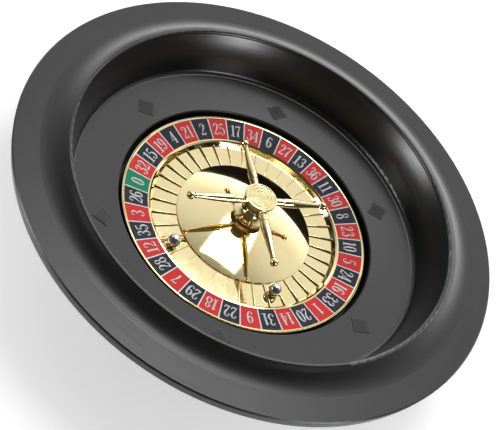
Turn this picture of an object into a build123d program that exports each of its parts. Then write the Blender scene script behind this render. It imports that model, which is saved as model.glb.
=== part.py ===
"""A home roulette wheel: moulded bowl, gold rotor on two ball bearings, four-armed turret, two balls.

Millimetres, +Z up. The origin is on the table, on the wheel's axis, and -Y is the front.
"""
import os
from math import cos, radians, sin, tan

from build123d import *

# ---------------------------------------------------------------- driving sizes
# bowl, from the brim inwards
BRIM_RADIUS = 203.0
BRIM_TOP = 78.0
BRIM_DISH = 1.0
SKIRT_BOTTOM = 70.0
SKIRT_DRAFT = 1.0
WALL = 3.0
RISE_RADIUS = 183.0
CREST_RADIUS = 164.0
CREST_HEIGHT = 84.0
CREST_INNER_RADIUS = 160.2
CREST_INNER_HEIGHT = 82.7
LIP_STEP_HEIGHT = 81.6
SHOULDER_ANGLE = 64.0
FOOT_RADIUS = 151.4
FOOT_HEIGHT = 46.95
TRACK_RADIUS = 147.4
TRACK_HEIGHT = 42.56
TRACK_SLOPE = 7.5
WELL_RADIUS = 111.0
BASE_HEIGHT = 3.0
BOSS_TOP = 14.0
RIB_COUNT = 12
RIB_THICKNESS = 2.0
TRAY_RADIUS = 122.0
TRAY_THICKNESS = 3.0

# track diamonds
DIAMOND_COUNT = 6
DIAMOND_RADIUS = 126.8
DIAMOND_DIAGONAL = 19.0
DIAMOND_THICKNESS = 1.2
DIAMOND_PROUD = 0.5
DIAMOND_ANGLE = 44.3
DIAMOND_STEP = 360.0 / DIAMOND_COUNT

# rotor
POCKET_COUNT = 37
ZERO_ANGLE = 200.4
ROTOR_RADIUS = 107.8
ROTOR_RIM_TOP = 34.6
RING_OUTER_RADIUS = 105.0
RING_OUTER_HEIGHT = 33.5
RING_INNER_RADIUS = 85.0
RING_INNER_HEIGHT = 30.5
RING_THICKNESS = 0.6
POCKET_OUTER_RADIUS = 80.0
POCKET_FLOOR = 26.0
PAN_WALL = 2.5
FRET_HEIGHT = 1.7
FRET_INNER_HEIGHT = 1.1
FRET_THICKNESS = 0.8
CONE_RADIUS = 59.0
CONE_EDGE = 1.4
CONE_SLOPE = 11.5
CONE_WALL = 1.5
CONE_LAND = 0.15

# axle and bearings
SPINDLE_RADIUS = 3.0
SPINDLE_FLANGE = 1.2
BEARING_RADIUS = 7.5
BEARING_WIDTH = 5.0
INNER_RACE_RADIUS = 4.6
OUTER_RACE_BORE = 6.2
BEARING_BALL_RADIUS = 1.15
BEARING_BALL_COUNT = 7
BEARING_PLAY = 0.05
SPACER_WIDTH = 2.5
HUB_RADIUS = 9.5
HUB_TOP = 38.2
HUB_FLANGE_RADIUS = 32.0
HUB_SCREW_CIRCLE = 24.0
RIM_SCREW_CIRCLE = 83.4

# turret
ARM_COUNT = 4
ARM_ANGLE = 38.2
ARM_HEIGHT = 57.4
ARM_REACH = 59.0
ARM_BALL_RADIUS = 3.5
HEAD_RADIUS = 12.2
CAP_RADIUS = 14.0
STUD_RADIUS = 3.0

# loose balls
BALL_RADIUS = 5.5
BALL_PLACES = {"steel_ball_1": (33, 73.1), "steel_ball_2": (25, 68.2)}

# base
FOOT_CIRCLE = 100.0
FOOT_PAD_RADIUS = 9.0
BASE_SCREW_CIRCLE = 117.5
BASE_SCREW_START = 15.0
SCREW_COUNT = 6
SCREW_RADIUS = 1.45
SCREW_HOLE = 1.5
FIT = 0.02

# ---------------------------------------------------------------- derived sizes
POCKET_PITCH = 360.0 / POCKET_COUNT
LIP_WIDTH = 1.4
TRACK_EDGE_RADIUS = WELL_RADIUS + LIP_WIDTH
TRACK_EDGE_HEIGHT = TRACK_HEIGHT - (TRACK_RADIUS - TRACK_EDGE_RADIUS) * tan(radians(TRACK_SLOPE))
TRAY_TOP = BASE_HEIGHT + TRAY_THICKNESS
BEARING_1 = BOSS_TOP + SPINDLE_FLANGE
SPACER_BOTTOM = BEARING_1 + BEARING_WIDTH
BEARING_2 = SPACER_BOTTOM + SPACER_WIDTH
CLIP_BOTTOM = BEARING_2 + BEARING_WIDTH
CONE_BORE = HUB_RADIUS + 0.3
CONE_RISE = (CONE_RADIUS - CONE_BORE) * tan(radians(CONE_SLOPE))
CONE_TOP = POCKET_FLOOR + CONE_EDGE + CONE_RISE
PAN_UNDERSIDE = POCKET_FLOOR - PAN_WALL
HEAD_BOTTOM = ARM_HEIGHT - 5.0
HEAD_TOP = ARM_HEIGHT + 3.6

PARTS = "parts"
os.makedirs(PARTS, exist_ok=True)


def save(part, name):
    """Label a finished piece and write its STEP file."""
    part.label = name
    export_step(part, f"{PARTS}/{name}.step")


def radial_plane(angle, radius=0.0, height=0.0):
    """A plane whose X points outwards along a radius and whose Y points up."""
    out = Vector(cos(radians(angle)), sin(radians(angle)), 0)
    across = Vector(sin(radians(angle)), -cos(radians(angle)), 0)
    return Plane(origin=out * radius + Vector(0, 0, height), x_dir=out, z_dir=across)


def track_plane(angle, depth):
    """A plane lying in the sloping ball track, sunk into it by depth, with X pointing up the slope."""
    slope = radians(TRACK_SLOPE)
    out = Vector(cos(radians(angle)), sin(radians(angle)), 0)
    up_slope = out * cos(slope) + Vector(0, 0, sin(slope))
    normal = Vector(0, 0, cos(slope)) - out * sin(slope)
    height = TRACK_HEIGHT - (TRACK_RADIUS - DIAMOND_RADIUS) * tan(slope)
    origin = out * DIAMOND_RADIUS + Vector(0, 0, height) - normal * depth
    return Plane(origin=origin, x_dir=up_slope, z_dir=normal)


# ---------------------------------------------------------------- bowl
# One moulding: brim and skirt, crest, inner wall, ball track and the collar around the rotor.
WELL_OUTER = WELL_RADIUS + WALL
LIP_DEPTH = 1.6
BRIM_CHAMFER = 1.0
TRACK_UNDER = WALL / cos(radians(TRACK_SLOPE))
CREST_UNDER_RADIUS = 163.05
CREST_UNDER_HEIGHT = 80.8
FOOT_UNDER_MIDDLE = (152.0, 41.9)
FOOT_UNDER_TOP = (154.2, 47.4)
WALL_UNDER_MIDDLE = (157.4, 66.0)
LIP_STEP_WIDTH = 0.1
SHOULDER = (-cos(radians(SHOULDER_ANGLE)), -sin(radians(SHOULDER_ANGLE)))
GROOVE_TOP = BRIM_TOP - 1.8
GROOVE_HEIGHT = 0.9
GROOVE_DEPTH = 0.8
RIB_EMBED = 1.0
RIB_REACH = 4.0
SCREW_BOSS_RADIUS = 4.4
SCREW_BOSS_HEIGHT = 14.0
SCREW_DEPTH = 10.0

with BuildPart() as bowl:
    with BuildSketch(Plane.XZ):
        with BuildLine():
            skirt = Line((BRIM_RADIUS - SKIRT_DRAFT, SKIRT_BOTTOM), (BRIM_RADIUS, BRIM_TOP - BRIM_CHAMFER))
            edge = Line(skirt @ 1, (BRIM_RADIUS - BRIM_CHAMFER, BRIM_TOP))
            brim = Line(edge @ 1, (RISE_RADIUS, BRIM_TOP - BRIM_DISH))
            rise = TangentArc(brim @ 1, (CREST_RADIUS, CREST_HEIGHT), tangent=brim % 1)
            crest = TangentArc(rise @ 1, (CREST_INNER_RADIUS, CREST_INNER_HEIGHT), tangent=rise % 1)
            step = Line(crest @ 1, (CREST_INNER_RADIUS - LIP_STEP_WIDTH, LIP_STEP_HEIGHT))
            inner_wall = TangentArc(step @ 1, (FOOT_RADIUS, FOOT_HEIGHT), tangent=SHOULDER)
            foot = TangentArc(inner_wall @ 1, (TRACK_RADIUS, TRACK_HEIGHT), tangent=inner_wall % 1)
            track = Line(foot @ 1, (TRACK_EDGE_RADIUS, TRACK_EDGE_HEIGHT))
            lip = TangentArc(track @ 1, (WELL_RADIUS, TRACK_EDGE_HEIGHT - LIP_DEPTH), tangent=track % 1)
            Polyline(
                lip @ 1,
                (WELL_RADIUS, TRAY_TOP),
                (WELL_OUTER, TRAY_TOP),
                (WELL_OUTER, TRACK_EDGE_HEIGHT - TRACK_UNDER),
                (TRACK_RADIUS, TRACK_HEIGHT - TRACK_UNDER),
            )
            under_foot = ThreePointArc(
                (TRACK_RADIUS, TRACK_HEIGHT - TRACK_UNDER), FOOT_UNDER_MIDDLE, FOOT_UNDER_TOP
            )
            Polyline(under_foot @ 1, WALL_UNDER_MIDDLE, (CREST_UNDER_RADIUS, CREST_UNDER_HEIGHT))
            under_rise = TangentArc(
                (RISE_RADIUS, BRIM_TOP - BRIM_DISH - WALL),
                (CREST_UNDER_RADIUS, CREST_UNDER_HEIGHT),
                tangent=brim % 1,
            )
            Polyline(
                under_rise @ 0,
                (BRIM_RADIUS - WALL, BRIM_TOP - WALL),
                (BRIM_RADIUS - WALL - SKIRT_DRAFT, SKIRT_BOTTOM),
                skirt @ 0,
            )
        make_face()
    revolve(axis=Axis.Z)
    # thin shadow groove around the top of the skirt
    with BuildSketch(Plane.XZ):
        with BuildLine():
            Polyline(
                (BRIM_RADIUS + GROOVE_DEPTH, GROOVE_TOP),
                (BRIM_RADIUS - GROOVE_DEPTH, GROOVE_TOP - GROOVE_HEIGHT / 2),
                (BRIM_RADIUS + GROOVE_DEPTH, GROOVE_TOP - GROOVE_HEIGHT),
                close=True,
            )
        make_face()
    revolve(axis=Axis.Z, mode=Mode.SUBTRACT)
    # ribs that carry the track, outside the well
    for rib in range(RIB_COUNT):
        with BuildSketch(radial_plane(rib * 360 / RIB_COUNT)):
            with BuildLine():
                Polyline(
                    (WELL_OUTER - RIB_EMBED, TRAY_TOP),
                    (TRAY_RADIUS - RIB_EMBED, TRAY_TOP),
                    (TRACK_RADIUS + RIB_REACH, TRACK_HEIGHT - RIB_REACH),
                    (TRACK_RADIUS, TRACK_HEIGHT - RIB_EMBED),
                    (WELL_OUTER - RIB_EMBED, TRACK_EDGE_HEIGHT - RIB_EMBED),
                    close=True,
                )
            make_face()
        extrude(amount=RIB_THICKNESS / 2, both=True)
    # bosses for the base screws, against the outside of the collar
    with BuildSketch(Plane.XY.offset(TRAY_TOP)):
        with PolarLocations(BASE_SCREW_CIRCLE, SCREW_COUNT, start_angle=BASE_SCREW_START):
            Circle(SCREW_BOSS_RADIUS)
        Circle(WELL_RADIUS + WALL / 2, mode=Mode.SUBTRACT)
    extrude(amount=SCREW_BOSS_HEIGHT)
    with BuildSketch(Plane.XY.offset(TRAY_TOP)):
        with PolarLocations(BASE_SCREW_CIRCLE, SCREW_COUNT, start_angle=BASE_SCREW_START):
            Circle(SCREW_HOLE)
    extrude(amount=SCREW_DEPTH, mode=Mode.SUBTRACT)
    # shallow seats for the diamonds
    for seat in range(DIAMOND_COUNT):
        with BuildSketch(track_plane(DIAMOND_ANGLE + seat * DIAMOND_STEP, DIAMOND_THICKNESS - DIAMOND_PROUD)):
            Rectangle(
                DIAMOND_DIAGONAL / 2 ** 0.5 + 2 * FIT,
                DIAMOND_DIAGONAL / 2 ** 0.5 + 2 * FIT,
                rotation=45,
            )
        extrude(amount=2 * DIAMOND_THICKNESS, mode=Mode.SUBTRACT)
save(bowl.part, "bowl")

# Six diamonds seated in the track, standing slightly proud of it.
with BuildPart() as track_diamonds:
    for seat in range(DIAMOND_COUNT):
        with BuildSketch(track_plane(DIAMOND_ANGLE + seat * DIAMOND_STEP, DIAMOND_THICKNESS - DIAMOND_PROUD)):
            Rectangle(DIAMOND_DIAGONAL / 2 ** 0.5, DIAMOND_DIAGONAL / 2 ** 0.5, rotation=45)
        extrude(amount=DIAMOND_THICKNESS)
save(track_diamonds.part, "track_diamonds")

# ---------------------------------------------------------------- base
# Tray that carries the spindle, screwed up into the bowl and standing on four rubber feet.
FOOT_STEM_RADIUS = 3.0
FOOT_BARB_RADIUS = 4.2
LOCATING_RADIUS = WELL_RADIUS - 0.2
LOCATING_HEIGHT = 2.0
BOSS_RADIUS = 15.0
BOSS_DRAFT = 2.0
COVER_RADIUS = 12.4
COVER_THICKNESS = 1.4
SCREW_HEAD_RADIUS = 2.8
SCREW_HEAD_HEIGHT = 1.6
SLOT_LENGTH = 3.4
SLOT_WIDTH = 0.7
SLOT_DEPTH = 0.9
SCREW_CLEARANCE = 0.25
TRAY_CHAMFER = 0.6
COVER_LEDGE = 0.6
FOOT_COUNT = 4
FOOT_START = 45.0
FOOT_CHAMFER = 1.0
FOOT_BARB_HEIGHT = 1.8

with BuildPart() as base_tray:
    with BuildSketch(Plane.XZ):
        with BuildLine():
            Polyline(
                (TRAY_RADIUS, BASE_HEIGHT + TRAY_CHAMFER),
                (TRAY_RADIUS, TRAY_TOP),
                (LOCATING_RADIUS, TRAY_TOP),
                (LOCATING_RADIUS, TRAY_TOP + LOCATING_HEIGHT),
                (LOCATING_RADIUS - WALL, TRAY_TOP + LOCATING_HEIGHT),
                (LOCATING_RADIUS - WALL, TRAY_TOP),
                (BOSS_RADIUS + BOSS_DRAFT, TRAY_TOP),
                (BOSS_RADIUS, BOSS_TOP),
                (SPINDLE_RADIUS + FIT, BOSS_TOP),
                (SPINDLE_RADIUS + FIT, BOSS_TOP - WALL),
                (COVER_RADIUS - COVER_LEDGE, BOSS_TOP - WALL),
                (COVER_RADIUS - COVER_LEDGE, BASE_HEIGHT + COVER_THICKNESS),
                (COVER_RADIUS + FIT, BASE_HEIGHT + COVER_THICKNESS),
                (COVER_RADIUS + FIT, BASE_HEIGHT),
                (TRAY_RADIUS - TRAY_CHAMFER, BASE_HEIGHT),
                close=True,
            )
        make_face()
    revolve(axis=Axis.Z)
    # holes for the feet and for the base screws
    with BuildSketch(Plane.XY.offset(BASE_HEIGHT)):
        with PolarLocations(FOOT_CIRCLE, FOOT_COUNT, start_angle=FOOT_START):
            Circle(FOOT_STEM_RADIUS + FIT)
        with PolarLocations(BASE_SCREW_CIRCLE, SCREW_COUNT, start_angle=BASE_SCREW_START):
            Circle(SCREW_RADIUS + SCREW_CLEARANCE)
    extrude(amount=TRAY_THICKNESS, mode=Mode.SUBTRACT)
save(base_tray.part, "base_tray")

with BuildPart() as axle_cover:
    with BuildSketch(Plane.XY.offset(BASE_HEIGHT)):
        Circle(COVER_RADIUS)
    extrude(amount=COVER_THICKNESS)
save(axle_cover.part, "axle_cover")


def screw_group(circle, start, seat, length, head_up):
    """Six cross-slotted screws on a circle; seat is the height under their heads."""
    head_bottom = seat if head_up else seat - SCREW_HEAD_HEIGHT
    shank_bottom = seat - length if head_up else seat
    slot_bottom = seat + SCREW_HEAD_HEIGHT - SLOT_DEPTH if head_up else head_bottom
    with BuildPart() as screws:
        with BuildSketch(Plane.XY.offset(head_bottom)):
            with PolarLocations(circle, SCREW_COUNT, start_angle=start):
                Circle(SCREW_HEAD_RADIUS)
        extrude(amount=SCREW_HEAD_HEIGHT)
        with BuildSketch(Plane.XY.offset(shank_bottom)):
            with PolarLocations(circle, SCREW_COUNT, start_angle=start):
                Circle(SCREW_RADIUS)
        extrude(amount=length)
        with BuildSketch(Plane.XY.offset(slot_bottom)):
            with PolarLocations(circle, SCREW_COUNT, start_angle=start):
                Rectangle(SLOT_LENGTH, SLOT_WIDTH)
                Rectangle(SLOT_WIDTH, SLOT_LENGTH)
        extrude(amount=SLOT_DEPTH, mode=Mode.SUBTRACT)
    return screws.part


save(screw_group(BASE_SCREW_CIRCLE, BASE_SCREW_START, BASE_HEIGHT, SCREW_DEPTH, False), "base_screws")

for number in range(FOOT_COUNT):
    foot_angle = FOOT_START + number * 360 / FOOT_COUNT
    with BuildPart() as rubber_foot:
        with BuildSketch(radial_plane(foot_angle, FOOT_CIRCLE)):
            with BuildLine():
                Polyline(
                    (0, 0),
                    (FOOT_PAD_RADIUS - FOOT_CHAMFER, 0),
                    (FOOT_PAD_RADIUS, FOOT_CHAMFER),
                    (FOOT_PAD_RADIUS, BASE_HEIGHT),
                    (FOOT_STEM_RADIUS, BASE_HEIGHT),
                    (FOOT_STEM_RADIUS, TRAY_TOP),
                    (FOOT_BARB_RADIUS, TRAY_TOP),
                    (FOOT_STEM_RADIUS - FOOT_CHAMFER, TRAY_TOP + FOOT_BARB_HEIGHT),
                    (0, TRAY_TOP + FOOT_BARB_HEIGHT),
                    close=True,
                )
            make_face()
        foot_axis = Axis(radial_plane(foot_angle, FOOT_CIRCLE).origin, (0, 0, 1))
        revolve(axis=foot_axis)
    save(rubber_foot.part, f"rubber_foot_{number + 1}")

# ---------------------------------------------------------------- axle
# Fixed steel spindle with a flange, clamped through the tray's boss by a washer and a thin nut.
SPINDLE_BOTTOM = BASE_HEIGHT + 2.8
SPINDLE_TOP = CLIP_BOTTOM + 2.4
FLANGE_RADIUS = 4.4
SPINDLE_CHAMFER = 0.4
CLIP_THICKNESS = 0.7
CLIP_PLAY = 0.1
CLIP_RADIUS = 4.4
CLIP_MOUTH = 3.2
CLIP_GROOVE_RADIUS = 2.5
WASHER_RADIUS = 6.5
WASHER_THICKNESS = 1.2
NUT_HALF_WIDTH = 5.0
NUT_HEIGHT = 3.2
SPACER_RADIUS = 4.2
WASHER_BOTTOM = BOSS_TOP - WALL - WASHER_THICKNESS

with BuildPart() as spindle:
    with BuildSketch(Plane.XZ):
        with BuildLine():
            Polyline(
                (0, SPINDLE_BOTTOM),
                (SPINDLE_RADIUS - SPINDLE_CHAMFER, SPINDLE_BOTTOM),
                (SPINDLE_RADIUS, SPINDLE_BOTTOM + SPINDLE_CHAMFER),
                (SPINDLE_RADIUS, BOSS_TOP),
                (FLANGE_RADIUS, BOSS_TOP),
                (FLANGE_RADIUS, BEARING_1),
                (SPINDLE_RADIUS, BEARING_1),
                (SPINDLE_RADIUS, CLIP_BOTTOM),
                (CLIP_GROOVE_RADIUS, CLIP_BOTTOM),
                (CLIP_GROOVE_RADIUS, CLIP_BOTTOM + CLIP_THICKNESS + CLIP_PLAY),
                (SPINDLE_RADIUS, CLIP_BOTTOM + CLIP_THICKNESS + CLIP_PLAY),
                (SPINDLE_RADIUS, SPINDLE_TOP - SPINDLE_CHAMFER),
                (SPINDLE_RADIUS - SPINDLE_CHAMFER, SPINDLE_TOP),
                (0, SPINDLE_TOP),
                close=True,
            )
        make_face()
    revolve(axis=Axis.Z)
save(spindle.part, "spindle")

with BuildPart() as spindle_washer:
    with BuildSketch(Plane.XY.offset(WASHER_BOTTOM)):
        Circle(WASHER_RADIUS)
        Circle(SPINDLE_RADIUS + CLIP_PLAY, mode=Mode.SUBTRACT)
    extrude(amount=WASHER_THICKNESS)
save(spindle_washer.part, "spindle_washer")

with BuildPart() as spindle_nut:
    with BuildSketch(Plane.XY.offset(WASHER_BOTTOM - NUT_HEIGHT)):
        RegularPolygon(NUT_HALF_WIDTH, 6, major_radius=False)
        Circle(SPINDLE_RADIUS + FIT, mode=Mode.SUBTRACT)
    extrude(amount=NUT_HEIGHT)
save(spindle_nut.part, "spindle_nut")

with BuildPart() as bearing_spacer:
    with BuildSketch(Plane.XY.offset(SPACER_BOTTOM)):
        Circle(SPACER_RADIUS)
        Circle(SPINDLE_RADIUS + FIT, mode=Mode.SUBTRACT)
    extrude(amount=SPACER_WIDTH)
save(bearing_spacer.part, "bearing_spacer")

with BuildPart() as retaining_clip:
    with BuildSketch(Plane.XY.offset(CLIP_BOTTOM + CLIP_PLAY / 2)):
        Circle(CLIP_RADIUS)
        Circle(CLIP_GROOVE_RADIUS + FIT, mode=Mode.SUBTRACT)
        with Locations((CLIP_RADIUS, 0)):
            Rectangle(2 * SPINDLE_RADIUS, CLIP_MOUTH, mode=Mode.SUBTRACT)
    extrude(amount=CLIP_THICKNESS)
save(retaining_clip.part, "retaining_clip")

# ---------------------------------------------------------------- ball bearings
# Two deep-groove bearings: the inner races stay still, the outer races turn with the rotor.
PITCH_RADIUS = (INNER_RACE_RADIUS + OUTER_RACE_BORE) / 2
CAGE_THICKNESS = 0.9
CAGE_INNER = PITCH_RADIUS - CAGE_THICKNESS / 2
CAGE_OUTER = PITCH_RADIUS + CAGE_THICKNESS / 2
CAGE_HALF_HEIGHT = 1.7
GROOVE_BALL = BEARING_BALL_RADIUS + BEARING_PLAY

for prefix, bottom in (("lower", BEARING_1), ("upper", BEARING_2)):
    middle = bottom + BEARING_WIDTH / 2
    with BuildPart() as inner_race:
        with BuildSketch(Plane.XZ):
            with Locations(((SPINDLE_RADIUS + FIT + INNER_RACE_RADIUS) / 2, middle)):
                Rectangle(INNER_RACE_RADIUS - SPINDLE_RADIUS - FIT, BEARING_WIDTH)
            with Locations((PITCH_RADIUS, middle)):
                Circle(GROOVE_BALL, mode=Mode.SUBTRACT)
        revolve(axis=Axis.Z)
    save(inner_race.part, f"{prefix}_bearing_inner_race")

    with BuildPart() as outer_race:
        with BuildSketch(Plane.XZ):
            with Locations(((OUTER_RACE_BORE + BEARING_RADIUS) / 2, middle)):
                Rectangle(BEARING_RADIUS - OUTER_RACE_BORE, BEARING_WIDTH)
            with Locations((PITCH_RADIUS, middle)):
                Circle(GROOVE_BALL, mode=Mode.SUBTRACT)
        revolve(axis=Axis.Z)
    save(outer_race.part, f"{prefix}_bearing_outer_race")

    with BuildPart(Plane.XY.offset(middle)) as bearing_balls:
        with PolarLocations(PITCH_RADIUS, BEARING_BALL_COUNT):
            Sphere(BEARING_BALL_RADIUS)
    save(bearing_balls.part, f"{prefix}_bearing_balls")

    with BuildPart(Plane.XY.offset(middle)) as bearing_cage:
        Cylinder(CAGE_OUTER, 2 * CAGE_HALF_HEIGHT)
        Cylinder(CAGE_INNER, 2 * CAGE_HALF_HEIGHT, mode=Mode.SUBTRACT)
        # a round window for each ball
        for window in range(BEARING_BALL_COUNT):
            out = radial_plane(window * 360 / BEARING_BALL_COUNT).x_dir
            with BuildSketch(Plane(Vector(0, 0, middle), z_dir=out)):
                Circle(GROOVE_BALL)
            extrude(amount=BEARING_RADIUS, mode=Mode.SUBTRACT)
    save(bearing_cage.part, f"{prefix}_bearing_cage")

# ---------------------------------------------------------------- rotor
# Hub: tube around both bearings, with a flange under the pocket plate.
HUB_FLANGE_HEIGHT = 2.6
HUB_SHOULDER_BORE = 6.5
HUB_SLEEVE_RADIUS = HUB_RADIUS + 1.5
HUB_FLANGE_TAPER = 0.5
HUB_FLANGE_EDGE = 1.8
HUB_SCREW_START = 30.0

with BuildPart() as hub:
    with BuildSketch(Plane.XZ):
        with BuildLine():
            Polyline(
                (BEARING_RADIUS, BEARING_1),
                (HUB_SLEEVE_RADIUS, BEARING_1),
                (HUB_SLEEVE_RADIUS, PAN_UNDERSIDE - HUB_FLANGE_HEIGHT - HUB_FLANGE_TAPER),
                (HUB_FLANGE_RADIUS, PAN_UNDERSIDE - HUB_FLANGE_EDGE),
                (HUB_FLANGE_RADIUS, PAN_UNDERSIDE),
                (HUB_RADIUS, PAN_UNDERSIDE),
                (HUB_RADIUS, HUB_TOP),
                (BEARING_RADIUS, HUB_TOP),
                (BEARING_RADIUS, BEARING_2),
                (HUB_SHOULDER_BORE, BEARING_2),
                (HUB_SHOULDER_BORE, SPACER_BOTTOM),
                (BEARING_RADIUS, SPACER_BOTTOM),
                close=True,
            )
        make_face()
    revolve(axis=Axis.Z)
    with BuildSketch(Plane.XY.offset(PAN_UNDERSIDE)):
        with PolarLocations(HUB_SCREW_CIRCLE, SCREW_COUNT, start_angle=HUB_SCREW_START):
            Circle(SCREW_HOLE)
    extrude(amount=-2 * HUB_FLANGE_HEIGHT, mode=Mode.SUBTRACT)
save(hub.part, "hub")

# Plate that forms the pocket floor and carries the rim; the hub is screwed under it.
PLATE_RADIUS = 86.0
RIM_SCREW_START = 0.0
HUB_SCREW_LENGTH = 5.5
RIM_SCREW_LENGTH = 5.3
SCREW_POINT_GAP = 0.2

with BuildPart() as pocket_plate:
    with BuildSketch(Plane.XY.offset(PAN_UNDERSIDE)):
        Circle(PLATE_RADIUS)
        Circle(CONE_BORE, mode=Mode.SUBTRACT)
        with PolarLocations(HUB_SCREW_CIRCLE, SCREW_COUNT, start_angle=HUB_SCREW_START):
            Circle(SCREW_RADIUS + SCREW_CLEARANCE, mode=Mode.SUBTRACT)
        with PolarLocations(RIM_SCREW_CIRCLE, SCREW_COUNT, start_angle=RIM_SCREW_START):
            Circle(SCREW_RADIUS + SCREW_CLEARANCE, mode=Mode.SUBTRACT)
    extrude(amount=PAN_WALL)
save(pocket_plate.part, "pocket_plate")

save(screw_group(HUB_SCREW_CIRCLE, HUB_SCREW_START, POCKET_FLOOR, HUB_SCREW_LENGTH, True), "hub_screws")
save(screw_group(RIM_SCREW_CIRCLE, RIM_SCREW_START, PAN_UNDERSIDE, RIM_SCREW_LENGTH, False), "rim_screws")

# Rim: rounded outer bead, sloping seat for the printed ring, and the pocket wall.
SEAT_OUTER = RING_OUTER_HEIGHT - RING_THICKNESS
SEAT_INNER = RING_INNER_HEIGHT - RING_THICKNESS
RIM_UNDERSIDE = ROTOR_RIM_TOP - 5.2
RING_GAP = 0.1
WALL_TOP_RADIUS = POCKET_OUTER_RADIUS + 2.4
WALL_TOP_HEIGHT = RING_INNER_HEIGHT - 0.8

with BuildPart() as rotor_rim:
    with BuildSketch(Plane.XZ):
        with BuildLine():
            rim_side = Line((ROTOR_RADIUS, RIM_UNDERSIDE), (ROTOR_RADIUS, ROTOR_RIM_TOP - 1.0))
            rim_round = TangentArc(
                rim_side @ 1, (ROTOR_RADIUS - 1.1, ROTOR_RIM_TOP), tangent=rim_side % 1
            )
            Polyline(
                rim_round @ 1,
                (ROTOR_RADIUS - 1.6, ROTOR_RIM_TOP - 0.5),
                (RING_OUTER_RADIUS + 0.5, ROTOR_RIM_TOP - 0.6),
                (RING_OUTER_RADIUS + RING_GAP, RING_OUTER_HEIGHT + 2 * RING_GAP),
                (RING_OUTER_RADIUS + RING_GAP, SEAT_OUTER),
                (RING_INNER_RADIUS - RING_GAP, SEAT_INNER),
                (RING_INNER_RADIUS - RING_GAP, RING_INNER_HEIGHT + RING_GAP),
                (POCKET_OUTER_RADIUS + 3.8, RING_INNER_HEIGHT + 2 * RING_GAP),
                (WALL_TOP_RADIUS, WALL_TOP_HEIGHT),
                (POCKET_OUTER_RADIUS, POCKET_FLOOR),
                (PLATE_RADIUS, POCKET_FLOOR),
                (PLATE_RADIUS + 2, SEAT_INNER - PAN_WALL + 0.5),
                (RING_OUTER_RADIUS, SEAT_OUTER - PAN_WALL),
                (RING_OUTER_RADIUS + 0.6, RIM_UNDERSIDE),
                rim_side @ 0,
            )
        make_face()
    revolve(axis=Axis.Z)
    with BuildSketch(Plane.XY.offset(POCKET_FLOOR)):
        with PolarLocations(RIM_SCREW_CIRCLE, SCREW_COUNT, start_angle=RIM_SCREW_START):
            Circle(SCREW_HOLE)
    extrude(amount=RIM_SCREW_LENGTH - PAN_WALL + SCREW_POINT_GAP, mode=Mode.SUBTRACT)
save(rotor_rim.part, "rotor_rim")

# Printed ring, lying on the rim's sloping seat.
with BuildPart() as number_ring:
    with BuildSketch(Plane.XZ):
        with BuildLine():
            Polyline(
                (RING_OUTER_RADIUS, SEAT_OUTER + FIT),
                (RING_OUTER_RADIUS, RING_OUTER_HEIGHT),
                (RING_INNER_RADIUS, RING_INNER_HEIGHT),
                (RING_INNER_RADIUS, SEAT_INNER + FIT),
                close=True,
            )
        make_face()
    revolve(axis=Axis.Z)
save(number_ring.part, "number_ring")

# 37 frets between the pockets, each following the pocket wall at its outer end.
FRET_INNER_RADIUS = CONE_RADIUS + 0.4
WALL_LEAN = (WALL_TOP_HEIGHT - POCKET_FLOOR) / (WALL_TOP_RADIUS - POCKET_OUTER_RADIUS)

with BuildPart() as pocket_frets:
    for fret in range(POCKET_COUNT):
        with BuildSketch(radial_plane(ZERO_ANGLE - (fret + 0.5) * POCKET_PITCH)):
            with BuildLine():
                Polyline(
                    (FRET_INNER_RADIUS, POCKET_FLOOR),
                    (POCKET_OUTER_RADIUS - FIT, POCKET_FLOOR),
                    (POCKET_OUTER_RADIUS - FIT + FRET_HEIGHT / WALL_LEAN, POCKET_FLOOR + FRET_HEIGHT),
                    (FRET_INNER_RADIUS, POCKET_FLOOR + FRET_INNER_HEIGHT),
                    close=True,
                )
            make_face()
        extrude(amount=FRET_THICKNESS / 2, both=True)
save(pocket_frets.part, "pocket_frets")

# Mirror-bright cone over the plate, hollow underneath.
with BuildPart() as center_cone:
    with BuildSketch(Plane.XZ):
        with BuildLine():
            Polyline(
                (CONE_RADIUS, POCKET_FLOOR),
                (CONE_RADIUS, POCKET_FLOOR + CONE_EDGE),
                (CONE_BORE, CONE_TOP),
                (CONE_BORE, CONE_TOP - CONE_WALL),
                (CONE_RADIUS - CONE_WALL, POCKET_FLOOR + CONE_LAND),
                (CONE_RADIUS - CONE_WALL, POCKET_FLOOR),
                close=True,
            )
        make_face()
    revolve(axis=Axis.Z)
save(center_cone.part, "center_cone")

# ---------------------------------------------------------------- turret
# Threaded plug in the hub's top, with the stud that the turret is strung on.
PLUG_BOTTOM = SPINDLE_TOP + 3.0
STUD_GAP = 0.1
NUT_SEAT = ARM_HEIGHT - 0.8
STUD_TOP = HEAD_TOP - 0.3

with BuildPart() as turret_stud:
    with BuildSketch(Plane.XY.offset(PLUG_BOTTOM)):
        Circle(BEARING_RADIUS - FIT)
    extrude(amount=HUB_TOP - PLUG_BOTTOM)
    with BuildSketch(Plane.XY.offset(HUB_TOP)):
        Circle(STUD_RADIUS)
    extrude(amount=STUD_TOP - HUB_TOP)
save(turret_stud.part, "turret_stud")

# Bulbous base that clamps the cone and hides the hub's top.
BASE_JOINT = 48.0
BULB_RADIUS = 15.6

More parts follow.
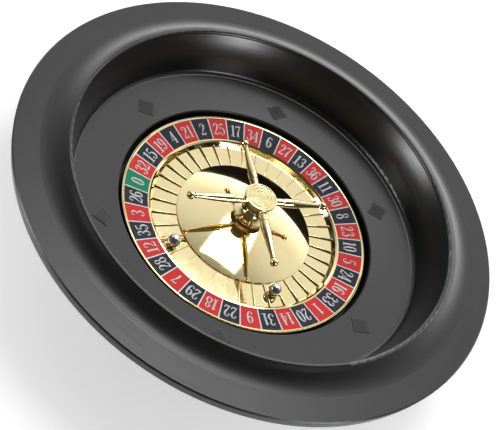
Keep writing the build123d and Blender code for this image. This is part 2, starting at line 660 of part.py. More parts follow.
with BuildPart() as turret_base:
    with BuildSketch(Plane.XZ):
        with BuildLine():
            bulb = Spline(
                (13.6, CONE_TOP + 0.6),
                (BULB_RADIUS, CONE_TOP + 4.0),
                (8.4, BASE_JOINT - 1.6),
                tangents=[(0.6, 1.0), (-0.5, 1.0)],
            )
            Polyline(
                bulb @ 1,
                (7.4, BASE_JOINT),
                (STUD_RADIUS + STUD_GAP, BASE_JOINT),
                (STUD_RADIUS + STUD_GAP, HUB_TOP + STUD_GAP / 2),
                (HUB_RADIUS + 0.15, HUB_TOP + STUD_GAP / 2),
                (HUB_RADIUS + 0.15, CONE_TOP),
                (12.6, CONE_TOP),
                bulb @ 0,
            )
        make_face()
    revolve(axis=Axis.Z)
save(turret_base.part, "turret_base")

# Waisted column with a raised collar.
with BuildPart() as turret_column:
    with BuildSketch(Plane.XZ):
        with BuildLine():
            waist = Spline(
                (7.4, BASE_JOINT),
                (6.3, BASE_JOINT + 1.3),
                (8.6, BASE_JOINT + 2.4),
                tangents=[(-0.4, 1.0), (1.0, 0.3)],
            )
            collar = ThreePointArc(waist @ 1, (9.2, BASE_JOINT + 3.0), (8.6, BASE_JOINT + 3.6))
            Polyline(
                collar @ 1,
                (7.2, BASE_JOINT + 3.9),
                (7.2, HEAD_BOTTOM),
                (STUD_RADIUS + STUD_GAP, HEAD_BOTTOM),
                (STUD_RADIUS + STUD_GAP, BASE_JOINT),
                waist @ 0,
            )
        make_face()
    revolve(axis=Axis.Z)
save(turret_column.part, "turret_column")

# Head with a socket for each arm and a recess for the nut.
SOCKET_RADIUS = 2.2
SOCKET_DEPTH_RADIUS = 8.0
TURRET_NUT_HEIGHT = 2.4
NUT_RECESS_RADIUS = 6.2

with BuildPart() as turret_head:
    with BuildSketch(Plane.XZ):
        with BuildLine():
            Polyline(
                (STUD_RADIUS + STUD_GAP, HEAD_BOTTOM),
                (8.2, HEAD_BOTTOM),
                (10.4, HEAD_BOTTOM + 1.0),
                (HEAD_RADIUS, HEAD_BOTTOM + 2.2),
                (HEAD_RADIUS, HEAD_TOP),
                (NUT_RECESS_RADIUS, HEAD_TOP),
                (NUT_RECESS_RADIUS, NUT_SEAT),
                (STUD_RADIUS + STUD_GAP, NUT_SEAT),
                close=True,
            )
        make_face()
    revolve(axis=Axis.Z)
    for arm in range(ARM_COUNT):
        side = radial_plane(ARM_ANGLE + arm * 360 / ARM_COUNT)
        with BuildSketch(Plane(side.x_dir * SOCKET_DEPTH_RADIUS + Vector(0, 0, ARM_HEIGHT), z_dir=side.x_dir)):
            Circle(SOCKET_RADIUS)
        extrude(amount=HEAD_RADIUS, mode=Mode.SUBTRACT)
save(turret_head.part, "turret_head")

with BuildPart() as turret_nut:
    with BuildSketch(Plane.XY.offset(NUT_SEAT)):
        RegularPolygon(NUT_HALF_WIDTH, 6, major_radius=False)
        Circle(STUD_RADIUS + FIT, mode=Mode.SUBTRACT)
    extrude(amount=TURRET_NUT_HEIGHT)
save(turret_nut.part, "turret_nut")

# Cap turned with three concentric rings around a shallow dish.
CAP_RINGS = ((11.4, 1.8), (8.0, 1.6), (4.9, 1.4))
CAP_GROOVE_HEIGHT = HEAD_TOP + 2.1

with BuildPart() as turret_cap:
    with BuildSketch(Plane.XZ):
        with BuildLine():
            cap_side = Line((CAP_RADIUS - 0.6, HEAD_TOP), (CAP_RADIUS, HEAD_TOP + 0.7))
            cap_round = ThreePointArc(
                cap_side @ 1, (CAP_RADIUS - 0.4, HEAD_TOP + 1.5), (CAP_RADIUS - 1.4, HEAD_TOP + 1.8)
            )
            cap_dome = Line(cap_round @ 1, (0, HEAD_TOP + 2.3))
            Line(cap_dome @ 1, (0, HEAD_TOP))
            Line((0, HEAD_TOP), cap_side @ 0)
        make_face()
    revolve(axis=Axis.Z)
    # turned grooves between the rings
    with BuildSketch(Plane.XZ):
        for ring_radius, groove_width in CAP_RINGS:
            with Locations((ring_radius, CAP_GROOVE_HEIGHT)):
                Circle(groove_width / 2)
    revolve(axis=Axis.Z, mode=Mode.SUBTRACT)
save(turret_cap.part, "turret_cap")

# Four turned arms: spigot, root collar, swelling taper and end ball.
ARM_ROOT = HEAD_RADIUS + 0.05
COLLAR_END = 21.0
TAPER_END = ARM_REACH - ARM_BALL_RADIUS + 0.4

for arm in range(ARM_COUNT):
    angle = ARM_ANGLE + arm * 360 / ARM_COUNT
    arm_plane = radial_plane(angle, 0, ARM_HEIGHT)
    with BuildPart() as turret_arm:
        with BuildSketch(arm_plane):
            with BuildLine():
                root = Polyline(
                    (SOCKET_DEPTH_RADIUS + 0.2, 0),
                    (SOCKET_DEPTH_RADIUS + 0.2, SOCKET_RADIUS - FIT),
                    (ARM_ROOT, SOCKET_RADIUS - FIT),
                    (ARM_ROOT, 3.1),
                    (COLLAR_END - 0.4, 3.4),
                    (COLLAR_END, 3.0),
                    (COLLAR_END + 0.4, 3.0),
                    (COLLAR_END + 0.8, 3.5),
                )
                swell = Spline(
                    root @ 1,
                    (COLLAR_END + 6, 3.75),
                    (COLLAR_END + 20, 3.0),
                    (TAPER_END - 1.6, 2.1),
                )
                neck = Polyline(
                    swell @ 1,
                    (TAPER_END - 1.2, 2.5),
                    (TAPER_END - 0.6, 2.5),
                    (TAPER_END, 1.7),
                    (TAPER_END + 0.5, 1.7),
                    (TAPER_END + 0.5, 0),
                )
                Line(neck @ 1, root @ 0)
            make_face()
        revolve(axis=Axis((0, 0, ARM_HEIGHT), arm_plane.x_dir))
        with Locations(arm_plane.x_dir * ARM_REACH + Vector(0, 0, ARM_HEIGHT)):
            Sphere(ARM_BALL_RADIUS)
    save(turret_arm.part, f"turret_arm_{arm + 1}")

# ---------------------------------------------------------------- loose balls
for name, (pocket, radius) in BALL_PLACES.items():
    place = radial_plane(ZERO_ANGLE - pocket * POCKET_PITCH, radius, POCKET_FLOOR + BALL_RADIUS + FIT)
    with BuildPart() as steel_ball:
        with Locations(place.origin):
            Sphere(BALL_RADIUS)
    save(steel_ball.part, name)
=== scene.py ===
from math import atan2, cos, pi, radians, sin

import bmesh
import bpy
from mathutils import Matrix, Vector


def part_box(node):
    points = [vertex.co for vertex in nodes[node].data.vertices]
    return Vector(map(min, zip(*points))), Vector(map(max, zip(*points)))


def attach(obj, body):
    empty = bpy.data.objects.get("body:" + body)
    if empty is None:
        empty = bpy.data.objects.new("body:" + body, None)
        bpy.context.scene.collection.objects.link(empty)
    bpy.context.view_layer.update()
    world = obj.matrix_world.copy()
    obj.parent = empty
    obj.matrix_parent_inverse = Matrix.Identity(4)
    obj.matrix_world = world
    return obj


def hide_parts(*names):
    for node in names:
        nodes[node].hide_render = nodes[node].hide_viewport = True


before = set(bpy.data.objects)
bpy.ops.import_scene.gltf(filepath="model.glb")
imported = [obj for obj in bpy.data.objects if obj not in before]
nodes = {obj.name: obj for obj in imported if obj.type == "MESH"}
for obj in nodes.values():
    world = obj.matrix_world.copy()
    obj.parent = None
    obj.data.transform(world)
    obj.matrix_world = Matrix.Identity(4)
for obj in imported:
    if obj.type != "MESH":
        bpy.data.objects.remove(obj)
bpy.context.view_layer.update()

# ---------------------------------------------------------------- bowl
# One injection moulding in black ABS, satin from a polished tool, with a flat brim, a raised crest,
# a steep inner wall and a sloping ball track. Wiping leaves faint marks that run round with the wheel.


class Wire:
    """One output inside a material. Sums, products and powers of wires add Math nodes."""

    def __init__(self, socket):
        self.socket = socket

    def node(self, kind, settings, inputs, out=0):
        """Any node: its settings first, then the numbers, colours or wires of its sockets."""
        tree = self.socket.id_data
        made = tree.nodes.new(kind)
        for name, value in settings.items():
            setattr(made, name, value)
        for name, value in inputs.items():
            if isinstance(value, Wire):
                tree.links.new(value.socket, made.inputs[name])
            else:
                made.inputs[name].default_value = value
        return Wire(made.outputs[out])

    def maths(self, operation, first, second=0.0):
        return self.node("ShaderNodeMath", {"operation": operation}, {0: first, 1: second})

    def __add__(self, other):
        return self.maths("ADD", self, other)

    def __radd__(self, other):
        return self.maths("ADD", other, self)

    def __rsub__(self, other):
        return self.maths("SUBTRACT", other, self)

    def __mul__(self, other):
        return self.maths("MULTIPLY", self, other)

    def __rmul__(self, other):
        return self.maths("MULTIPLY", other, self)

    def __truediv__(self, other):
        return self.maths("DIVIDE", self, other)

    def __pow__(self, other):
        return self.maths("POWER", self, other)

    def noise(self, scale, detail=2.0, roughness=0.5):
        """Cloudy variation from 0 to 1; scale is in cycles a metre on Object coordinates."""
        inputs = {"Vector": self, "Scale": scale, "Detail": detail, "Roughness": roughness}
        return self.node("ShaderNodeTexNoise", {"noise_dimensions": "3D"}, inputs)

    def mask(self, low, high):
        """0 below low, 1 above high, with a soft step between."""
        settings = {"interpolation_type": "SMOOTHSTEP"}
        return self.node("ShaderNodeMapRange", settings, {"Value": self, "From Min": low, "From Max": high})

    def mix(self, first, second):
        """A colour between two, by this wire."""
        inputs = {0: self, 6: (*first, 1.0), 7: (*second, 1.0)}
        return self.node("ShaderNodeMix", {"data_type": "RGBA"}, inputs, out=2)

    def around(self, fine, coarse):
        """Coordinates stretched round the wheel's axis, so that a noise on them runs in rings."""
        split = self.node("ShaderNodeSeparateXYZ", {}, {0: self})
        x, y = split, Wire(split.socket.node.outputs[1])
        radius = (x * x + y * y + 1e-9) ** 0.5
        return self.node(
            "ShaderNodeCombineXYZ", {}, {0: radius * fine, 1: x / radius * coarse, 2: y / radius * coarse}
        )

    def bump(self, strength, distance):
        """A normal from this height; distance is the full height in metres."""
        return self.node("ShaderNodeBump", {}, {"Strength": strength, "Distance": distance, "Height": self})


def finish(name, **fixed):
    """A new material with its constant settings; returns it, its shader's sockets and its coordinates."""
    material = bpy.data.materials.new(name)
    material.use_nodes = True
    tree = material.node_tree
    sockets = tree.nodes["Principled BSDF"].inputs
    for socket, value in fixed.items():
        sockets[socket.replace("_", " ").title().replace("Ior", "IOR")].default_value = value
    return material, sockets, Wire(tree.nodes.new("ShaderNodeTexCoord").outputs["Object"])


def feed(socket, wire):
    socket.id_data.links.new(wire.socket, socket)


def dress(material, *names):
    """Gives carried-over CAD nodes their material."""
    for name in names:
        nodes[name].data.materials.clear()
        nodes[name].data.materials.append(material)


black_abs, shader, place = finish("black_abs")
cloud = place.noise(14.0, 4.0)
wiped = place.around(900.0, 3.0).noise(1.0, 3.0)
specks = place.noise(2600.0, 1.0).mask(0.74, 0.80)
tint = 0.6 * cloud + 0.4 * specks
feed(shader["Base Color"], tint.mix((0.0035, 0.0036, 0.0039), (0.0085, 0.0087, 0.0092)))
feed(shader["Roughness"], 0.27 + 0.06 * cloud + 0.07 * wiped.mask(0.45, 0.8) + 0.2 * specks)
feed(shader["Normal"], (place.noise(420.0, 3.0) * 0.6 + wiped * 0.4).bump(0.10, 0.0002))
dress(black_abs, "bowl", "base_tray", "axle_cover")

# ---------------------------------------------------------------- track diamonds
# Six separate matt black tiles pressed into the ball track, standing half a millimetre proud. Each is
# moulded with a plain border round a field of small hobnails.
DIAMOND_COUNT = 6
DIAMOND_RADIUS = 0.1268
DIAMOND_FIRST = 44.3
DIAMOND_SIDE = 0.0190 / 2 ** 0.5
DIAMOND_BORDER = 0.0012
DIAMOND_DEPTH = 0.0012
DIAMOND_ROUND = 0.00018
HOBNAILS = 7
HOBNAIL_EDGE = 0.00035
HOBNAIL_HEIGHT = 0.00022
FLAT = 1e-5
CORNER = 1.2
TRACK_SLOPE = radians(7.5)


def piece(name, mesh, body, slot, *materials, stands_for=()):
    """Turns a bmesh into an object that rides on a body, with the materials given; the slot argument is not
    used.
    """
    data = bpy.data.meshes.new(name)
    mesh.to_mesh(data)
    mesh.free()
    made = bpy.data.objects.new(name, data)
    bpy.context.scene.collection.objects.link(made)
    for material in materials:
        data.materials.append(material)
    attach(made, body)
    if stands_for:
        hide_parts(*stands_for)
    return made


CREASE = radians(35)


def soften(mesh):
    """Smooth faces, with the edges sharper than a crease kept crisp."""
    for face in mesh.faces:
        face.smooth = True
    for edge in mesh.edges:
        edge.smooth = not edge.is_manifold or edge.calc_face_angle(0.0) < CREASE


matt_abs, shader, place = finish("matt_abs")
grain = place.noise(5200.0, 2.0, 0.7)
feed(shader["Base Color"], grain.mix((0.012, 0.012, 0.013), (0.045, 0.045, 0.047)))
feed(shader["Roughness"], 0.38 + 0.2 * grain)
feed(shader["Normal"], grain.bump(0.8, 0.00008))



def points_of(geometry):
    """The vertices among the parts that a bmesh operator returned."""
    return [part for part in geometry if isinstance(part, bmesh.types.BMVert)]


def boundary(mesh):
    """The open edges of a mesh."""
    return [edge for edge in mesh.edges if edge.is_boundary]


tiles = bmesh.new()
for number in range(DIAMOND_COUNT):
    tile = bmesh.new()
    half = DIAMOND_SIDE / 2 - DIAMOND_BORDER
    bmesh.ops.create_grid(tile, x_segments=HOBNAILS, y_segments=HOBNAILS, size=half)
    field = tile.faces[:]
    rim_points = points_of(bmesh.ops.extrude_edge_only(tile, edges=boundary(tile))["geom"])
    grow = DIAMOND_SIDE / (DIAMOND_SIDE - 2 * DIAMOND_BORDER)
    bmesh.ops.scale(tile, vec=(grow, grow, 1), verts=rim_points)
    bmesh.ops.inset_individual(tile, faces=field, thickness=HOBNAIL_EDGE, depth=HOBNAIL_HEIGHT)
    skirt_points = points_of(bmesh.ops.extrude_edge_only(tile, edges=boundary(tile))["geom"])
    bmesh.ops.translate(tile, vec=(0, 0, -DIAMOND_DEPTH), verts=skirt_points)
    bmesh.ops.holes_fill(tile, edges=boundary(tile), sides=0)
    top_edges = [e for e in tile.edges if max(abs(v.co.z) for v in e.verts) < FLAT]
    outline = [e for e in top_edges if e.calc_face_angle(0.0) > CORNER]
    bmesh.ops.bevel(
        tile, geom=outline, offset=DIAMOND_ROUND, segments=2, profile=0.5, affect="EDGES", material=-1
    )
    turn = radians(DIAMOND_FIRST + number * 360 / DIAMOND_COUNT)
    lay = (
        Matrix.Rotation(turn, 4, "Z")
        @ Matrix.Translation((DIAMOND_RADIUS, 0, 0))
        @ Matrix.Rotation(-TRACK_SLOPE, 4, "Y")
        @ Matrix.Rotation(pi / 4, 4, "Z")
    )
    tile.transform(lay)
    carried = bpy.data.meshes.new("tile")
    tile.to_mesh(carried)
    tile.free()
    tiles.from_mesh(carried)
    bpy.data.meshes.remove(carried)
track_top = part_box("track_diamonds")[1].z
tiles_top = max(v.co.z for v in tiles.verts)
bmesh.ops.translate(tiles, vec=(0, 0, track_top - tiles_top), verts=tiles.verts[:])
bmesh.ops.recalc_face_normals(tiles, faces=tiles.faces[:])
piece("diamond_tiles", tiles, "bowl", "black_texture", matt_abs, stands_for=["track_diamonds"])

# ---------------------------------------------------------------- feet and fasteners underneath
# Four black rubber feet pushed through the tray, and zinc-plated steel screws, washer, nut and clip.
foot_rubber, shader, place = finish("foot_rubber", specular_ior_level=0.3)
worn = place.noise(900.0, 4.0)
feed(shader["Base Color"], worn.mix((0.018, 0.018, 0.019), (0.045, 0.045, 0.046)))
feed(shader["Roughness"], 0.68 + 0.22 * worn)
feed(shader["Normal"], place.noise(3200.0, 2.0).bump(0.5, 0.0001))
dress(foot_rubber, "rubber_foot_1", "rubber_foot_2", "rubber_foot_3", "rubber_foot_4")

zinc, shader, place = finish("zinc_plate", metallic=1.0)
brushed = place.around(3000.0, 2.0).noise(1.0, 2.0)
blotch = place.noise(260.0, 3.0)
feed(shader["Base Color"], blotch.mix((0.50, 0.51, 0.53), (0.66, 0.66, 0.65)))
feed(shader["Roughness"], 0.24 + 0.16 * blotch + 0.08 * brushed)
feed(shader["Normal"], brushed.bump(0.15, 0.00005))
dress(zinc, "base_screws", "hub_screws", "rim_screws", "spindle", "spindle_washer", "spindle_nut")
dress(zinc, "bearing_spacer", "retaining_clip", "turret_stud", "turret_nut")

# ---------------------------------------------------------------- bearings and hub
# Ground steel races and balls in a pressed brass cage, held in a turned aluminium hub.
ground, shader, place = finish("ground_steel", metallic=1.0)
lap = place.around(5200.0, 1.0).noise(1.0, 2.0)
feed(shader["Base Color"], lap.mix((0.58, 0.58, 0.60), (0.70, 0.70, 0.71)))
feed(shader["Roughness"], 0.10 + 0.10 * lap)
dress(ground, "lower_bearing_inner_race", "upper_bearing_inner_race", "lower_bearing_outer_race")
dress(ground, "upper_bearing_outer_race", "lower_bearing_balls", "upper_bearing_balls")

cage_brass, shader, place = finish("cage_brass", metallic=1.0)
tarnish = place.noise(700.0, 3.0)
feed(shader["Base Color"], tarnish.mix((0.62, 0.44, 0.17), (0.80, 0.62, 0.30)))
feed(shader["Roughness"], 0.25 + 0.2 * tarnish)
dress(cage_brass, "lower_bearing_cage", "upper_bearing_cage")

turned_alloy, shader, place = finish("turned_alloy", metallic=1.0)
tool_lines = place.around(4200.0, 1.0).noise(1.0, 1.0)
feed(shader["Base Color"], tool_lines.mix((0.60, 0.61, 0.62), (0.72, 0.72, 0.73)))
feed(shader["Roughness"], 0.26 + 0.14 * tool_lines)
feed(shader["Normal"], tool_lines.bump(0.3, 0.00004))
dress(turned_alloy, "hub")

# ---------------------------------------------------------------- rotor rim and pocket plate
# Pressed and turned metal, polished and plated in pale gold. The rim has a rounded bead with a fine step
# inside it, a sunk seat for the number ring and a steep wall round the pockets.


def plating(name, smooth):
    """Mirror-polished pale gold plate with faint smears and polishing marks that run round."""
    material, shader, place = finish(name, metallic=1.0)
    smear = place.noise(55.0, 4.0, 0.6)
    polish = place.around(1500.0, 2.0).noise(1.0, 2.0)
    feed(shader["Base Color"], smear.mix((0.86, 0.71, 0.36), (0.93, 0.81, 0.49)))
    feed(shader["Roughness"], smooth + 0.05 * smear.mask(0.45, 0.75) + 0.02 * polish)
    feed(shader["Normal"], (place.noise(160.0, 2.0) * 0.7 + polish * 0.3).bump(0.04, 0.0001))
    return material


pale_gold = plating("pale_gold", 0.055)
dress(pale_gold, "pocket_plate", "rotor_rim")
WELD = 1e-6


def turned(profile, steps):
    """A turned shape: corner points (radius, height, rounding) on one side of the axis, spun right round."""
    mesh = bmesh.new()
    points = [mesh.verts.new((r, 0, z)) for r, z, rounding in profile]
    for first, second in zip(points, points[1:]):
        mesh.edges.new((first, second))
    for point, (r, z, rounding) in zip(points, profile):
        if rounding:
            bmesh.ops.bevel(
                mesh, geom=[point], offset=rounding, offset_type="OFFSET", segments=4, profile=0.5,
                affect="VERTICES", material=-1,
            )
    bmesh.ops.spin(
        mesh, geom=mesh.verts[:] + mesh.edges[:], cent=(0, 0, 0), axis=(0, 0, 1), angle=2 * pi,
        steps=steps, use_merge=True,
    )
    bmesh.ops.remove_doubles(mesh, verts=mesh.verts[:], dist=WELD)
    bmesh.ops.recalc_face_normals(mesh, faces=mesh.faces[:])
    soften(mesh)
    return mesh


# ---------------------------------------------------------------- number ring
# Printed plastic film let into the rim: 37 cells in red and slate with one green, thin white lines between
# them, and condensed white numerals whose feet point to the centre.
ORDER = (0, 32, 15, 19, 4, 21, 2, 25, 17, 34, 6, 27, 13, 36, 11, 30, 8, 23, 10)
ORDER += (5, 24, 16, 33, 1, 20, 14, 31, 9, 22, 18, 29, 7, 28, 12, 35, 3, 26)
CELL = 2 * pi / len(ORDER)
ZERO = radians(200.4)
LINE = 0.0010 / 0.095
RING_OUT = (0.1050, 0.0335)
RING_IN = (0.0850, 0.0305)
FILM = 0.00054
CELL_STEPS = 8
RED, SLATE, GREEN, WHITE = range(4)


def ink(name, light, dark):
    """Printed satin film: solid ink with a fine screen and a slightly uneven varnish."""
    material, shader, place = finish(name, specular_ior_level=0.12)
    screen = place.noise(3800.0, 2.0)
    varnish = place.noise(120.0, 3.0)
    feed(shader["Base Color"], (0.5 * screen + 0.5 * varnish).mix(dark, light))
    feed(shader["Roughness"], 0.42 + 0.12 * varnish)
    feed(shader["Normal"], varnish.bump(0.06, 0.0001))
    return material


inks = (
    ink("ink_red", (0.90, 0.052, 0.050), (0.80, 0.034, 0.034)),
    ink("ink_slate", (0.036, 0.045, 0.062), (0.024, 0.030, 0.042)),
    ink("ink_green", (0.012, 0.34, 0.17), (0.008, 0.26, 0.13)),
    ink("ink_white", (0.95, 0.95, 0.95), (0.90, 0.90, 0.91)),
)
ring = bmesh.new()


def ring_span(start, angle, steps, colour):
    """A span of the film, spun from its cross-section."""
    outer_foot = (RING_OUT[0], RING_OUT[1] - FILM)
    inner_foot = (RING_IN[0], RING_IN[1] - FILM)
    corners = (outer_foot, RING_OUT, RING_IN, inner_foot)
    points = [ring.verts.new((r * cos(start), r * sin(start), z)) for r, z in corners]
    edges = [ring.edges.new(pair) for pair in zip(points, points[1:])]
    before = set(ring.faces)
    bmesh.ops.spin(ring, geom=points + edges, cent=(0, 0, 0), axis=(0, 0, 1), angle=angle, steps=steps)
    for face in set(ring.faces) - before:
        face.material_index = colour


for index, number in enumerate(ORDER):
    start = ZERO - (index + 0.5) * CELL + LINE / 2
    colour = GREEN if number == 0 else (SLATE, RED)[index % 2]
    ring_span(start, CELL - LINE, CELL_STEPS, colour)
    ring_span(start - LINE, LINE, 1, WHITE)
bmesh.ops.remove_doubles(ring, verts=ring.verts[:], dist=WELD)
bmesh.ops.recalc_face_normals(ring, faces=ring.faces[:])
if sum(f.normal.z for f in ring.faces) < 0:
    bmesh.ops.reverse_faces(ring, faces=ring.faces[:])
soften(ring)
piece("number_film", ring, "rotor", "printed_film", *inks, stands_for=["number_ring"])

# Numerals: each is a few pen strokes of (across, up, half-width) in millimetres, swelling and thinning as
# a condensed display face does; the second item says whether the stroke closes on itself. Printing
# thickens every stroke by the same share and fills the finest ones up to a hairline.
MILLIMETRE = 0.001
NUMERAL_HEIGHT = 11.6
HAIRLINE = 0.34
BOLD = 1.15
SIX = [(1.55, 9.3, 0.72), (1.6, 10.4, 0.3), (0.4, 11.35, 0.22), (-1.3, 9.6, 0.7), (-1.8, 5.8, 0.9),
       (-1.5, 2.1, 0.8), (0, 0.25, 0.22), (1.5, 2.0, 0.75), (1.75, 3.7, 0.85), (1.3, 5.8, 0.6),
       (0.1, 6.7, 0.22), (-1.1, 5.6, 0.25)]
NUMERALS = {
    "0": [([(0, 11.35, 0.22), (-1.5, 9.4, 0.75), (-1.75, 5.8, 0.9), (-1.5, 2.2, 0.75), (0, 0.25, 0.22),
            (1.5, 2.2, 0.75), (1.75, 5.8, 0.9), (1.5, 9.4, 0.75)], True)],
    "1": [([(0.2, 0.2, 0.88), (0.2, 11.4, 0.88)], False),
          ([(0.3, 11.1, 0.3), (-0.9, 10.1, 0.24), (-1.8, 9.8, 0.2)], False),
          ([(-1.8, 0.25, 0.25), (2.2, 0.25, 0.25)], False)],
    "2": [([(-1.4, 8.5, 0.75), (-1.75, 9.7, 0.35), (-0.6, 11.25, 0.25), (0.8, 11.0, 0.5), (1.6, 8.9, 0.9),
            (0.9, 6.2, 0.7), (-0.7, 3.4, 0.4), (-1.9, 0.9, 0.25)], False),
          ([(-2.1, 0.5, 0.45), (-0.8, 1.05, 0.7), (0.8, 0.7, 0.7), (1.9, 1.1, 0.4), (2.2, 2.9, 0.2)], False)],
    "3": [([(-1.4, 9.0, 0.72), (-1.6, 10.3, 0.3), (-0.3, 11.3, 0.24), (1.4, 9.6, 0.82), (1.0, 7.0, 0.5),
            (-0.4, 6.1, 0.22)], False),
          ([(-0.4, 6.1, 0.22), (1.2, 5.5, 0.55), (1.85, 3.1, 0.92), (1.0, 0.9, 0.55), (-0.5, 0.28, 0.25),
            (-1.8, 1.5, 0.35), (-1.5, 2.8, 0.75)], False)],
    "4": [([(0.9, 0.2, 0.85), (0.9, 11.4, 0.85)], False), ([(0.8, 11.2, 0.3), (-2.2, 3.5, 0.28)], False),
          ([(-2.4, 3.3, 0.28), (2.5, 3.3, 0.28)], False), ([(-0.7, 0.25, 0.25), (2.4, 0.25, 0.25)], False)],
    "5": [([(-1.5, 10.9, 0.4), (0.3, 10.7, 0.75), (1.9, 11.2, 0.4)], False),
          ([(-1.5, 11.0, 0.25), (-1.6, 6.3, 0.25)], False),
          ([(-1.6, 6.3, 0.22), (-0.1, 7.1, 0.3), (1.4, 5.8, 0.75), (1.8, 3.5, 0.92), (1.0, 1.0, 0.55),
            (-0.5, 0.28, 0.25), (-1.8, 1.5, 0.35), (-1.5, 2.8, 0.75)], False)],
    "6": [(SIX, False)],
    "7": [([(-2.0, 9.0, 0.22), (-1.8, 10.8, 0.4), (-0.4, 10.6, 0.75), (1.0, 10.9, 0.5),
            (2.1, 11.3, 0.25)], False),
          ([(2.1, 11.3, 0.25), (0.6, 7.2, 0.5), (-0.3, 3.6, 0.9), (-0.3, 0.2, 1.0)], False)],
    "8": [([(0, 11.35, 0.22), (-1.35, 10.2, 0.6), (-1.4, 8.2, 0.6), (0, 6.3, 0.3), (1.3, 8.2, 0.5),
            (1.3, 10.2, 0.5)], True),
          ([(0, 6.3, 0.3), (-1.6, 4.5, 0.7), (-1.7, 2.0, 0.75), (0, 0.25, 0.22), (1.7, 2.0, 0.75),
            (1.6, 4.3, 0.75)], True)],
    "9": [([(-x, NUMERAL_HEIGHT - y, w) for x, y, w in SIX], False)],
}
ADVANCE = {"1": 4.7}
USUAL_ADVANCE = 5.7
INK_THICKNESS = 0.00004
INK_LIFT = 0.6 * INK_THICKNESS
SLOPE = atan2(RING_OUT[1] - RING_IN[1], RING_OUT[0] - RING_IN[0])
MIDDLE = ((RING_OUT[0] + RING_IN[0]) / 2, (RING_OUT[1] + RING_IN[1]) / 2)
shapes = {}
for digit, strokes in NUMERALS.items():
    drawn = bpy.data.curves.new("numeral", "CURVE")
    drawn.dimensions = "3D"
    drawn.bevel_depth = 1.0
    drawn.bevel_resolution = 0
    drawn.resolution_u = 5
    drawn.use_fill_caps = True
    for stroke, closed in strokes:
        pen = drawn.splines.new("BEZIER")
        pen.bezier_points.add(len(stroke) - 1)
        pen.use_cyclic_u = closed
        for knot, (x, y, width) in zip(pen.bezier_points, stroke):
            knot.co = (x, y - NUMERAL_HEIGHT / 2, 0)
            knot.radius = max(HAIRLINE, BOLD * width)
            knot.handle_left_type = "AUTO"
            knot.handle_right_type = "AUTO"
    carrier = bpy.data.objects.new("numeral", drawn)
    shapes[digit] = bpy.data.meshes.new_from_object(carrier)
    bpy.data.objects.remove(carrier)
printed = bmesh.new()
for index, number in enumerate(ORDER):
    text = str(number)
    widths = [ADVANCE.get(digit, USUAL_ADVANCE) for digit in text]
    cursor = -sum(widths) / 2
    turn = ZERO - index * CELL
    for digit, width in zip(text, widths):
        before = len(printed.verts)
        printed.from_mesh(shapes[digit])
        printed.verts.ensure_lookup_table()
        across = (cursor + width / 2) * MILLIMETRE
        cursor += width
        lay = (
            Matrix.Rotation(turn, 4, "Z")
            @ Matrix.Translation((MIDDLE[0], 0, MIDDLE[1] + INK_LIFT))
            @ Matrix.Rotation(-SLOPE, 4, "Y")
            @ Matrix.Rotation(-pi / 2, 4, "Z")
            @ Matrix.Translation((across, 0, 0))
            @ Matrix.Diagonal((MILLIMETRE, MILLIMETRE, INK_THICKNESS, 1))
        )
        bmesh.ops.transform(printed, matrix=lay, verts=printed.verts[before:])
for shape in shapes.values():
    bpy.data.meshes.remove(shape)
piece("numerals", printed, "rotor", "printed_film", inks[WHITE])

# ---------------------------------------------------------------- pockets
# 37 thin plated frets stand on the plate, rounded along the top, each following the pocket wall outside.
FRET_FOOT = 0.0260
FRET_THICKNESS = 0.0008
FRET_ROUND = 0.00028
FRET = ((0.0594, FRET_FOOT), (0.07998, FRET_FOOT), (0.08108, 0.0277), (0.0594, 0.0271))
fret = bmesh.new()
side = fret.faces.new([fret.verts.new((r, -FRET_THICKNESS / 2, z)) for r, z in FRET])
other_side = points_of(bmesh.ops.extrude_face_region(fret, geom=[side])["geom"])
bmesh.ops.translate(fret, vec=(0, FRET_THICKNESS, 0), verts=other_side)
bmesh.ops.recalc_face_normals(fret, faces=fret.faces[:])
crown = [e for e in fret.edges if min(v.co.z for v in e.verts) > FRET_FOOT + FRET_THICKNESS]
bmesh.ops.bevel(
    fret, geom=crown, offset=FRET_ROUND, segments=3, profile=0.5, affect="EDGES", material=-1
)
first_fret = Matrix.Rotation(ZERO - CELL / 2, 3, "Z")
bmesh.ops.rotate(fret, cent=(0, 0, 0), matrix=first_fret, verts=fret.verts[:])
bmesh.ops.spin(
    fret, geom=fret.verts[:] + fret.edges[:] + fret.faces[:], cent=(0, 0, 0), axis=(0, 0, 1),
    angle=2 * pi - CELL, steps=len(ORDER) - 1, use_duplicate=True,
)
soften(fret)
piece("fret_ring", fret, "rotor", "gold_plate", pale_gold, stands_for=["pocket_frets"])

# ---------------------------------------------------------------- cone
# A spun dish over the middle of the plate, polished to a mirror before plating, with a short straight edge.
mirror_gold = plating("mirror_gold", 0.035)
cone_low, cone_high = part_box("center_cone")
CONE_BORE = 0.0098
CONE_WALL = 0.0015
CONE_EDGE = 0.0014
CONE_STEPS = 192
cone = turned(
    [
        (CONE_BORE, cone_high.z - CONE_WALL, 0.0003),
        (CONE_BORE, cone_high.z, 0.0003),
        (cone_high.x, cone_low.z + CONE_EDGE, 0.0002),
        (cone_high.x, cone_low.z, 0.0002),
        (cone_high.x - CONE_WALL, cone_low.z, 0.0),
        (CONE_BORE, cone_high.z - CONE_WALL, 0.0),
    ],
    CONE_STEPS,
)
piece("cone_dish", cone, "rotor", "gold_mirror", mirror_gold, stands_for=["center_cone"])

# ---------------------------------------------------------------- turret
# Turned brass, polished and plated: bulbous base, waisted column with a collar, drilled head, ringed cap
# and four tapering arms that plug into the head.
turret_gold = plating("turret_gold", 0.045)
dress(turret_gold, "turret_base", "turret_column", "turret_head", "turret_cap")
dress(turret_gold, "turret_arm_1", "turret_arm_2", "turret_arm_3", "turret_arm_4")

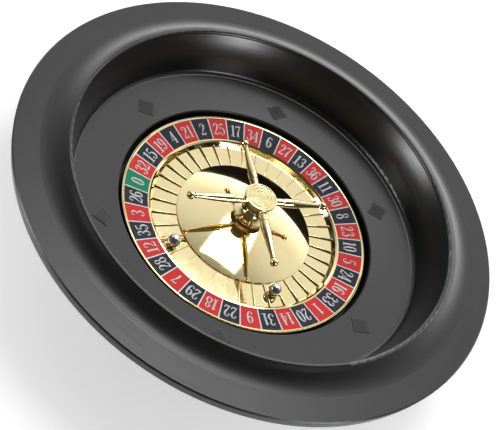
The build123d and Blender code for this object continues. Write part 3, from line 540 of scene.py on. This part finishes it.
# ---------------------------------------------------------------- balls
# Two hardened steel balls, lapped and chrome plated, lying loose in the pockets.
chrome, shader, place = finish("ball_chrome", metallic=1.0)
haze = place.noise(420.0, 3.0)
feed(shader["Base Color"], haze.mix((0.70, 0.70, 0.72), (0.82, 0.82, 0.83)))
feed(shader["Roughness"], 0.02 + 0.05 * haze.mask(0.5, 0.8))
dress(chrome, "steel_ball_1", "steel_ball_2")

# ---------------------------------------------------------------- table, light and camera
# A pale table in front of a white backdrop, with one large soft light above, a low one at each side and
# darkness behind the viewer.
FLOOR_SIZE = 3.0
floor_mesh = bmesh.new()
bmesh.ops.create_grid(floor_mesh, x_segments=1, y_segments=1, size=FLOOR_SIZE)
floor_data = bpy.data.meshes.new("table_top")
floor_mesh.to_mesh(floor_data)
floor_mesh.free()
floor = bpy.data.objects.new("table_top", floor_data)
bpy.context.scene.collection.objects.link(floor)
paper, shader, place = finish("table_paper", specular_ior_level=0.2, emission_strength=0.3)
shader["Emission Color"].default_value = (1.0, 1.0, 1.0, 1.0)
tone = place.noise(3.0, 3.0)
feed(shader["Base Color"], tone.mix((0.93, 0.93, 0.93), (0.95, 0.95, 0.95)))
feed(shader["Roughness"], 0.75 + 0.1 * tone)
floor_data.materials.append(paper)

world = bpy.data.worlds.new("studio")
bpy.context.scene.world = world
world.use_nodes = True
background = world.node_tree.nodes["Background"]
background.inputs["Color"].default_value = (1.0, 1.0, 1.0, 1.0)
sky = Wire(world.node_tree.nodes.new("ShaderNodeTexCoord").outputs["Generated"])
depth = sky.node("ShaderNodeSeparateXYZ", {}, {0: sky}, out=1)
height = Wire(depth.socket.node.outputs[2])
horizon = depth.mask(0.45, 0.95) * (1.0 - height.mask(0.15, 0.70))
feed(background.inputs["Strength"], 0.06 + 0.88 * depth.mask(-0.15, 0.62) + 2.6 * horizon)
LIT = Vector((0, 0, 0.06))


def soft_light(name, place, size, power):
    """A square soft light facing the wheel."""
    lamp = bpy.data.lights.new(name, "AREA")
    lamp.shape = "RECTANGLE"
    lamp.size, lamp.size_y = size
    lamp.energy = power
    made = bpy.data.objects.new(name, lamp)
    bpy.context.scene.collection.objects.link(made)
    made.location = place
    made.rotation_euler = (LIT - Vector(place)).to_track_quat("-Z", "Y").to_euler()


soft_light("overhead_light", (0.0, 0.57, 1.42), (0.56, 0.76), 7.0)
soft_light("left_light", (-1.15, -0.66, 0.30), (0.5, 0.36), 12.0)
soft_light("right_light", (1.15, -0.66, 0.30), (0.5, 0.36), 12.0)

DISTANCE = 0.831
ELEVATION = radians(44.17)
ROLL = radians(34.12)
FOCAL = 1050.12
WIDTH = 496
SENSOR = 36.0
SHIFT = (-21.3, -29.4)
AIM = Vector((0, 0, 0.078))
camera_data = bpy.data.cameras.new("camera")
camera_data.sensor_fit = "HORIZONTAL"
camera_data.sensor_width = SENSOR
camera_data.lens = FOCAL / WIDTH * SENSOR
camera_data.shift_x = SHIFT[0] / WIDTH
camera_data.shift_y = SHIFT[1] / WIDTH
camera_data.clip_start = 0.01
camera = bpy.data.objects.new("camera", camera_data)
bpy.context.scene.collection.objects.link(camera)
back = Vector((0, -cos(ELEVATION), sin(ELEVATION)))
camera.matrix_world = (
    Matrix.Translation(AIM + DISTANCE * back)
    @ back.to_track_quat("Z", "Y").to_matrix().to_4x4()
    @ Matrix.Rotation(ROLL, 4, "Z")
)
bpy.context.scene.camera = camera
bpy.context.scene.view_settings.view_transform = "Standard"
